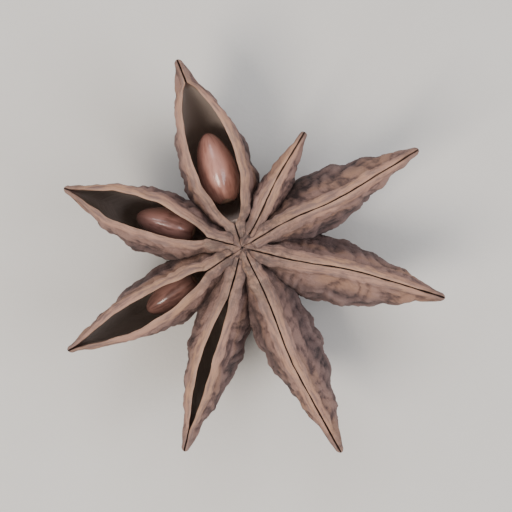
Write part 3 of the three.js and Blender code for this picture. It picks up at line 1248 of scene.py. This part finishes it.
        # Painted light on the top of each flank, from the lip down and weaker by the column.
        pale = blend(bands.hub_share, 1, ease(x, *bands.hub))
        lit_top = skin * (1 - ease(below, *bands.lit_top)) * pale
        raised = (wrinkles * (1 - relief.shoulder_calm * lit_top) + gutter) * skin
        raised = raised * ease(t, *relief.start) * ease(clear, -self.sizes.web, relief.full_clear)
        raised = raised * (1 - relief.beak_calm * ease(t, *relief.beak))
        raised = raised + relief.lip_height * grain * marks[Mark.LIP]
        rings = rings + outward(rings) * raised[..., None] * shrink[..., None]
        rings[..., 2] = np.maximum(rings[..., 2], 0)

        none = 0 * below
        number = none + PIECE_STEP * self.index + FLANK_STEP * is_left
        marks |= {
            Mark.LIT_TOP: lit_top,
            Mark.END_SHADE: self.follicle.end_shade * ease(t, *bands.end_shade) + none,
            Mark.RELIEF: np.clip(0.5 + wrinkles / (bands.relief_range * wrinkles.std()), 0, 1),
            Mark.ALONG: t + none,
            Mark.BROKEN: none,
            Mark.GRAIN: np.stack([x, below, number], axis=-1),
        }
        return stack_shell(rings, marks)


@dataclass(frozen=True)
class Column:
    """The column at the pod's middle, with the stalk's broken stub under it."""

    profile: tuple[tuple[float, float], ...] = (
        (0.98, 0), (0.92, 0.5), (1.02, 1.1), (1.55, 1.9), (2.3, 2.7),
        (2.1, 4.2), (1.5, 5.6), (1.05, 6.25), (0.7, 6.55), (0.3, 6.7), (0.08, 6.74),
    )  # radius and height from the broken end up
    stations: int = 90
    sides: int = 84
    rim_stations: int = 12  # over the broken end
    rim_from: float = 0.05  # share of the radius at which they start
    smoothing: int = 9  # stations over which the profile's corners are rounded
    fibre_height: float = 0.06
    fibre_start: Span = (0.0, 0.3)
    fibres: tuple[tuple[float, ...], ...] = (
        (1.0, 3.1, 1.6, 0.0), (0.6, 7.0, 0.9, 20.0)
    )  # share, number across, length and plane of each layer
    break_height: float = 0.2
    break_pitch: float = 3.5  # pits in a millimetre
    break_plane: float = 8.0
    break_rim: Span = (0.75, 0.95)
    pale: Span = (6.0, 6.6)  # height over which the tip takes painted light like the tops of the flanks
    pale_share: float = 0.5

    def _outline(self) -> tuple[np.ndarray, np.ndarray]:
        """Rounds the profile's corners.

        Returns:
            Its radii and heights, from the broken end up.
        """
        radii, heights = np.array(self.profile).T
        walk = np.concatenate([[0], np.cumsum(np.hypot(np.diff(radii), np.diff(heights)))])
        steps = np.linspace(0, walk[-1], self.stations)
        outline = [np.interp(steps, walk, radii), np.interp(steps, walk, heights)]
        kernel = np.hanning(self.smoothing) / np.hanning(self.smoothing).sum()
        inner = slice(self.smoothing // 2, -(self.smoothing // 2))
        for values in outline:
            values[inner] = np.convolve(values, kernel, "same")[inner]
        return outline[0], outline[1]

    def shell(self) -> Shell:
        """Works out the column with its fibres and its rough broken end.

        Returns:
            Its closed surface, with its marks.
        """
        radius, height = self._outline()
        rim = np.linspace(self.rim_from, 1, self.rim_stations, endpoint=False)
        radius = np.concatenate([rim * radius[0], radius])[:, None]
        height = np.concatenate([np.zeros(self.rim_stations), height])[:, None]
        is_end = np.concatenate([np.ones(self.rim_stations), np.zeros(self.stations)])[:, None]
        angle = np.linspace(0, 2 * np.pi, self.sides, endpoint=False)[None, :]
        across, away = np.cos(angle), np.sin(angle)
        fibre = sum(
            share * LATTICE.at(across * number, away * number, height / length + plane)
            for share, number, length, plane in self.fibres
        )
        radius = radius + self.fibre_height * fibre * (1 - is_end) * ease(height, *self.fibre_start)
        pitch = self.break_pitch
        pits = LATTICE.folds(radius * across * pitch, radius * away * pitch, self.break_plane)
        height = height + self.break_height * pits * is_end * (1 - ease(radius, *self.break_rim))
        rings = np.stack([radius * across, radius * away, height + 0 * across], axis=-1)
        none = 0 * rings[..., 0]
        number = none + PIECE_STEP * (len(FOLLICLES) + 1)
        marks = dict.fromkeys(Mark, none) | {
            Mark.LIT_TOP: none + self.pale_share * ease(height, *self.pale),
            Mark.RELIEF: np.clip(0.5 + 0.5 * fibre, 0, 1) + none,
            Mark.BROKEN: none + is_end,
            Mark.GRAIN: np.stack([height + none, radius * angle, number], axis=-1),
        }
        return stack_shell(rings, marks)


@dataclass
class Husk:
    """The pod without its seeds: the follicles and the column, grown into one."""

    node: str = "pod"
    slot: str = "pod_skin"
    crease: float = 48.0
    finish: HuskFinish = HuskFinish()

    def build(self) -> bpy.types.Object:
        """Grows the husk and dresses it.

        Returns:
            The husk, riding on the body.
        """
        husk = Column().shell().to_object("husk")
        arms = bpy.data.collections.new("follicles")
        for index in range(len(FOLLICLES)):
            arm = FollicleShell(index).shell().to_object(f"follicle_{index + 1}")
            arms.objects.link(arm)
        self._grow_together(husk, arms)
        smooth_shading(husk, self.crease)
        husk.data.materials.append(self.finish.material())
        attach(husk, BODY)
        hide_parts(self.node)
        return husk

    @staticmethod
    def _grow_together(base: bpy.types.Object, others: bpy.types.Collection) -> None:
        """Joins solids into one.

        Args:
            base: The solid that becomes all of them.
            others: The solids that are joined to it and then removed.
        """
        bpy.context.scene.collection.children.link(others)
        union = base.modifiers.new("grown", "BOOLEAN")
        union.operation = "UNION"
        union.operand_type = "COLLECTION"
        union.collection = others
        union.solver = "MANIFOLD"
        view = bpy.context.evaluated_depsgraph_get()
        grown = bpy.data.meshes.new_from_object(base.evaluated_get(view))
        grown.materials.clear()
        base.modifiers.clear()
        base.data = grown
        for other in list(others.objects):
            bpy.data.objects.remove(other)
        bpy.data.collections.remove(others)


# ---------------------------------------------------------------------------- the seeds


@dataclass
class Seed:
    """A flattened oval seed in its chamber, its thin edge up and its scar towards the column."""

    node: str
    follicle: Follicle
    pitch: float
    scale: float
    finish: SeedFinish = SeedFinish()
    slot: str = "seed_coat"
    length: float = 4.9
    height: float = 3.6
    thickness: float = 2.6
    hilum: float = 0.16  # how much blunter the outer end is
    ridge: float = 0.05  # the raised line along the edge
    ridge_width: float = 0.02
    scar_radius: float = 0.55
    scar_full: float = 0.6  # share of that radius over which the scar is full
    scar_depth: float = 0.12
    waver: float = 0.02
    waver_size: float = 1.7
    waver_step: float = 5.0  # sets the waver of one seed apart from another's
    grain_radius: float = 1.2
    crease: float = 60.0
    rings: int = 72
    sides: int = 64

    def build(self) -> bpy.types.Object:
        """Makes the seed where its solid is, and dresses it.

        Returns:
            The seed, riding on the body.
        """
        seed = self._shell().to_object(f"{self.node}_dressed")
        smooth_shading(seed, self.crease)
        seed.data.materials.append(self.finish.material())
        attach(seed, BODY)
        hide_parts(self.node)
        return seed

    def _shell(self) -> Shell:
        """Works out the seed.

        Returns:
            Its closed surface in its place, with its marks.
        """
        turn = np.linspace(0, np.pi, self.rings + 2)[1:-1, None]
        angle = np.linspace(0, 2 * np.pi, self.sides, endpoint=False)[None, :]
        radius = 0.5 * np.sin(turn) * (1 + self.hilum * np.cos(turn))
        edge = hump(np.abs(np.sin(angle)) - 1, self.ridge_width) * np.sin(turn)
        out = -0.5 * self.length * np.cos(turn) + 0 * angle
        across = radius * self.thickness * np.cos(angle)
        up = (radius * self.height + self.ridge * edge) * np.sin(angle)
        from_scar = np.hypot(out + self.length / 2, across)
        scar = 1 - ease(from_scar, self.scar_full * self.scar_radius, self.scar_radius)
        out = out + self.scar_depth * scar
        size, plane = self.waver_size, self.waver_step * self.scale
        waver = 1 + self.waver * LATTICE.at(out / size, across / size, up / size + plane)
        local = np.stack([out, across * waver, up * waver], axis=-1) * self.scale
        none = 0 * out
        grain = np.stack([out, angle * self.grain_radius + none, none], axis=-1)
        return stack_shell(local @ self._turn().T + self._middle(), {Mark.BROKEN: scar, Mark.GRAIN: grain})

    def _middle(self) -> np.ndarray:
        """Returns the middle of the seed's solid."""
        low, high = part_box(self.node)
        return np.array((low + high) / 2) / MM

    def _turn(self) -> np.ndarray:
        """Points the seed out along its follicle, tipped up by its pitch.

        Returns:
            The turn's matrix.
        """
        bearing, pitch = math.radians(self.follicle.bearing), math.radians(self.pitch)
        cos, sin = math.cos(pitch), math.sin(pitch)
        tip = np.array([[cos, 0, -sin], [0, 1, 0], [sin, 0, cos]])
        cos, sin = math.cos(bearing), math.sin(bearing)
        return np.array([[cos, -sin, 0], [sin, cos, 0], [0, 0, 1]]) @ tip


# ---------------------------------------------------------------------------- the studio


@dataclass(frozen=True)
class Lamp:
    """A soft square light, aimed at the pod. Places and sizes are in pod spans from the pod's middle."""

    name: str
    place: tuple[float, float, float]
    size: float
    power: float  # in watts
    colour: str


@dataclass
class Studio:
    """The floor, the lights and the camera that looks straight down."""

    floor_span: float = 1600.0
    fill: float = 0.78  # share of the picture that the pod takes
    lens: float = 100.0
    clip: Span = (0.001, 10.0)  # the nearest and farthest that the camera sees, in metres
    sky: str = "f2f2f0"
    sky_strength: float = 0.52
    lamps: tuple[Lamp, ...] = (
        Lamp("key", (-3.8, -3.8, 7.0), 4.0, 0.44, "fff6ec"),
        Lamp("fill", (5.6, -1.0, 4.5), 5.0, 0.2, "f2f5ff"),
        Lamp("back", (-2.0, 5.0, 4.5), 5.0, 0.12, "f2f5ff"),
    )
    finish: FloorFinish = FloorFinish()

    def build(self) -> None:
        """Sets up the floor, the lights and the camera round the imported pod."""
        low, high = (np.array(corner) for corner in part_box("pod"))
        middle, span = (low + high) / 2, float((high - low)[:2].max())
        self._floor()
        for lamp in self.lamps:
            self._lamp(lamp, middle, span)
        self._sky()
        self._camera(middle, span, float(high[2]))

    def _floor(self) -> None:
        """Lays the pale floor level with the keels."""
        half = self.floor_span * MM / 2
        mesh = bpy.data.meshes.new("floor")
        corners = [(-half, -half, 0), (half, -half, 0), (half, half, 0), (-half, half, 0)]
        mesh.from_pydata(corners, [], [(0, 1, 2, 3)])
        floor = bpy.data.objects.new("floor", mesh)
        bpy.context.scene.collection.objects.link(floor)
        floor.data.materials.append(self.finish.material())

    @staticmethod
    def _lamp(lamp: Lamp, middle: np.ndarray, span: float) -> None:
        """Hangs one light.

        Args:
            lamp: The light.
            middle: The pod's middle.
            span: The pod's span.
        """
        data = bpy.data.lights.new(lamp.name, "AREA")
        data.shape = "SQUARE"
        data.size = lamp.size * span
        data.energy = lamp.power
        data.color = paint(lamp.colour)[:3]
        light = bpy.data.objects.new(lamp.name, data)
        bpy.context.scene.collection.objects.link(light)
        offset = Vector(lamp.place) * span
        light.location = Vector(middle) + offset
        light.rotation_mode = "QUATERNION"
        light.rotation_quaternion = (-offset).to_track_quat("-Z", "Y")

    def _sky(self) -> None:
        """Fills the shadows with an even pale sky."""
        world = bpy.data.worlds.new("sky")
        world.use_nodes = True
        background = world.node_tree.nodes["Background"]
        background.inputs["Color"].default_value = paint(self.sky)
        background.inputs["Strength"].default_value = self.sky_strength
        bpy.context.scene.world = world

    def _camera(self, middle: np.ndarray, span: float, top: float) -> None:
        """Looks straight down, with +Y at the top of the picture.

        Args:
            middle: The pod's middle.
            span: The pod's span.
            top: The pod's height.
        """
        data = bpy.data.cameras.new("camera")
        data.lens = self.lens
        data.clip_start, data.clip_end = self.clip
        camera = bpy.data.objects.new("camera", data)
        bpy.context.scene.collection.objects.link(camera)
        distance = span / self.fill * data.lens / data.sensor_width
        camera.location = (middle[0], middle[1], top + distance)
        bpy.context.scene.camera = camera


def main() -> None:
    """Builds the pod and its studio."""
    logging.basicConfig(level=logging.INFO, format="%(name)s: %(message)s")
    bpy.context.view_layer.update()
    # The first seed's paler coat is partly its own tone and partly painted light, for the seed that lies
    # most open.
    pale_lit_finish = SeedFinish("seed_coat_pale_lit", coat="ba8678", dark="9a6a5d")
    chestnut = SeedFinish("seed_coat_dark", coat="8f685e", dark="664842")
    sub_assemblies = (
        Husk(),
        Seed("seed_1", FOLLICLES[0], pitch=9, scale=1.0, finish=pale_lit_finish),
        Seed("seed_2", FOLLICLES[1], pitch=13, scale=0.84),
        Seed("seed_3", FOLLICLES[2], pitch=10, scale=0.8, finish=chestnut),
    )
    for sub_assembly in sub_assemblies:
        piece = sub_assembly.build()
        LOG.info("%s: %d points, %d faces", piece.name, len(piece.data.vertices), len(piece.data.polygons))
    Studio().build()


if __name__ == "__main__":
    main()
